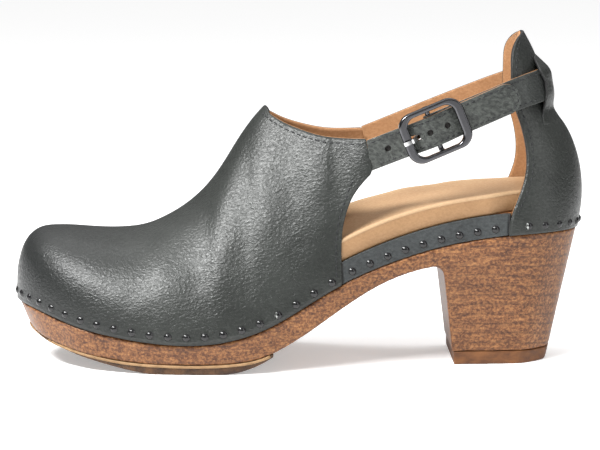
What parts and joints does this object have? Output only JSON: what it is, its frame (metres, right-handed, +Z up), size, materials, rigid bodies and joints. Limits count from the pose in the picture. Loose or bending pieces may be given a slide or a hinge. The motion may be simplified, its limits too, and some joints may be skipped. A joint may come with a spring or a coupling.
{
  "type": "wooden clog",
  "caption": "Left-foot clog with a wood sole and block heel, nailed closed-toe leather upper, open sides and a buckled strap round the heel.",
  "frame": {"origin": "centre of the heel lift's flat underside, on the floor", "axes": "+Z up, the toe points to -X, the lateral side of the foot is -Y and the medial side +Y"},
  "size_m": [0.2496, 0.097, 0.1434],
  "materials": {
    "wood": "satin",
    "tread_rubber": "matte",
    "lift_rubber": "matte",
    "upper_leather": "semi-gloss",
    "strap_leather": "semi-gloss",
    "lining_leather": "matte",
    "footbed_leather": "matte",
    "cushion": "matte",
    "stiffener": "matte",
    "buckle_metal": "polished gunmetal",
    "nail_metal": "gloss black"
  },
  "bodies": {
    "shoe": {"wood_sole": "wood", "forefoot_tread": "tread_rubber", "heel_lift": "lift_rubber", "rand_lateral": "upper_leather", "rand_medial": "upper_leather", "footbed_core": "cushion", "footbed_cover": "footbed_leather", "vamp_outer": "upper_leather", "vamp_lining": "lining_leather", "toe_stiffener": "stiffener", "counter_outer": "upper_leather", "counter_lining": "lining_leather", "heel_stiffener": "stiffener", "strap_sleeve": "upper_leather", "heel_strap": "strap_leather", "heel_strap_lining": "lining_leather", "tip_strap": "strap_leather", "tip_strap_lining": "lining_leather", "vamp_nails": "nail_metal", "counter_nails": "nail_metal", "rand_nails_lateral": "nail_metal", "rand_nails_medial": "nail_metal"},
    "buckle": {"buckle_frame": "buckle_metal"},
    "prong": {"buckle_prong": "buckle_metal"}
  },
  "joints": [
    {"name": "buckle_tilt", "type": "hinge", "parent": "shoe", "child": "buckle", "pos_m": [-0.03007, -0.02939, 0.103], "axis": [0.3763, 0.0356, -0.9258], "range_deg": [-1.5, 5]},
    {"name": "prong_lift", "type": "hinge", "parent": "buckle", "child": "prong", "pos_m": [-0.03007, -0.02939, 0.103], "axis": [0.3763, 0.0356, -0.9258], "range_deg": [-6, 0]}
  ]
}
